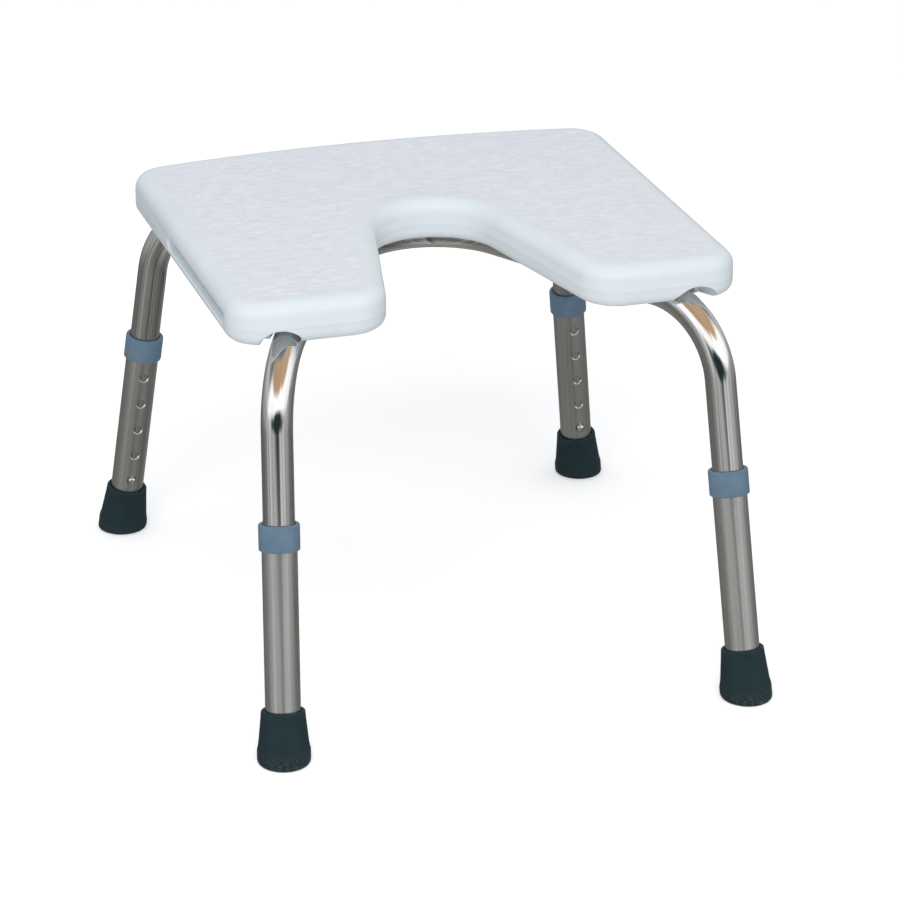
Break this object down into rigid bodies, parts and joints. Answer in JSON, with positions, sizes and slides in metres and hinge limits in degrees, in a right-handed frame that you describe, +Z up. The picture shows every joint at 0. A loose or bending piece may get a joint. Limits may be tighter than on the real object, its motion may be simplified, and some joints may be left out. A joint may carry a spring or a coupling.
{
  "type": "shower stool",
  "caption": "Shower stool: U-cut moulded seat on bent tube hoops, telescopic legs held by sprung buttons, collars and rubber feet.",
  "frame": {"origin": "on the floor, in the middle of the stool's footprint, at the lowest height setting", "axes": "+Z up, -Y towards the open side of the seat's cut-out (the front), +X to the right of a viewer who faces that front; L and R in the node names are -X and +X"},
  "size_m": [0.4734, 0.5177, 0.35],
  "materials": {
    "seat": "white blow-moulded polyethylene, fine embossed grain on top, smooth border",
    "hoop_tube": "polished bright",
    "leg_tube": "satin, brushed along its length",
    "collar": "blue-grey moulded plastic, semi-matt",
    "foot": "dark grey-green moulded rubber, matt",
    "plated_steel": "zinc plated",
    "spring_steel": "hardened, plain",
    "saddle": "grey nylon",
    "insert": "turned and knurled"
  },
  "bodies": {
    "frame": {"seat_panel": "seat", "front_hoop": "hoop_tube", "rear_hoop": "hoop_tube", "button_spring_FL": "spring_steel", "button_spring_FR": "spring_steel", "button_spring_RL": "spring_steel", "button_spring_RR": "spring_steel", "saddle_washer_1": "saddle", "saddle_washer_2": "saddle", "saddle_washer_3": "saddle", "saddle_washer_4": "saddle", "saddle_washer_5": "saddle", "seat_screw_1": "plated_steel", "seat_screw_2": "plated_steel", "seat_screw_3": "plated_steel", "seat_screw_4": "plated_steel", "seat_screw_5": "plated_steel", "seat_insert_1": "insert", "seat_insert_2": "insert", "seat_insert_3": "insert", "seat_insert_4": "insert", "seat_insert_5": "insert"},
    "leg_FL": {"leg_tube_FL": "leg_tube", "collar_FL": "collar", "foot_FL": "foot", "foot_washer_FL": "plated_steel"},
    "snap_FL": {"button_FL": "plated_steel"},
    "leg_FR": {"leg_tube_FR": "leg_tube", "collar_FR": "collar", "foot_FR": "foot", "foot_washer_FR": "plated_steel"},
    "snap_FR": {"button_FR": "plated_steel"},
    "leg_RL": {"leg_tube_RL": "leg_tube", "collar_RL": "collar", "foot_RL": "foot", "foot_washer_RL": "plated_steel"},
    "snap_RL": {"button_RL": "plated_steel"},
    "leg_RR": {"leg_tube_RR": "leg_tube", "collar_RR": "collar", "foot_RR": "foot", "foot_washer_RR": "plated_steel"},
    "snap_RR": {"button_RR": "plated_steel"}
  },
  "joints": [
    {"name": "leg_slide_FL", "type": "slide", "parent": "frame", "child": "leg_FL", "axis": [-0.0435, -0.1964, -0.9796], "range_m": [0, 0.1016], "deforming": ["button_FL"]},
    {"name": "button_press_FL", "type": "slide", "parent": "frame", "child": "snap_FL", "axis": [0.0087, -0.9805, 0.1963], "range_m": [0, 0.0043], "stiffness_N_per_m": 1200, "springref_m": -0.002, "deforming": ["button_spring_FL"]},
    {"name": "leg_slide_FR", "type": "slide", "parent": "frame", "child": "leg_FR", "axis": [0.0435, -0.1964, -0.9796], "range_m": [0, 0.1016], "deforming": ["button_FR"]},
    {"name": "button_press_FR", "type": "slide", "parent": "frame", "child": "snap_FR", "axis": [-0.0087, -0.9805, 0.1963], "range_m": [0, 0.0043], "stiffness_N_per_m": 1200, "springref_m": -0.002, "deforming": ["button_spring_FR"]},
    {"name": "leg_slide_RL", "type": "slide", "parent": "frame", "child": "leg_RL", "axis": [-0.1117, 0.1047, -0.9882], "range_m": [0, 0.1016], "deforming": ["button_RL"]},
    {"name": "button_press_RL", "type": "slide", "parent": "frame", "child": "snap_RL", "axis": [0.0118, 0.9945, 0.1041], "range_m": [0, 0.0043], "stiffness_N_per_m": 1200, "springref_m": -0.002, "deforming": ["button_spring_RL"]},
    {"name": "leg_slide_RR", "type": "slide", "parent": "frame", "child": "leg_RR", "axis": [0.1117, 0.1047, -0.9882], "range_m": [0, 0.1016], "deforming": ["button_RR"]},
    {"name": "button_press_RR", "type": "slide", "parent": "frame", "child": "snap_RR", "axis": [-0.0118, 0.9945, 0.1041], "range_m": [0, 0.0043], "stiffness_N_per_m": 1200, "springref_m": -0.002, "deforming": ["button_spring_RR"]}
  ]
}
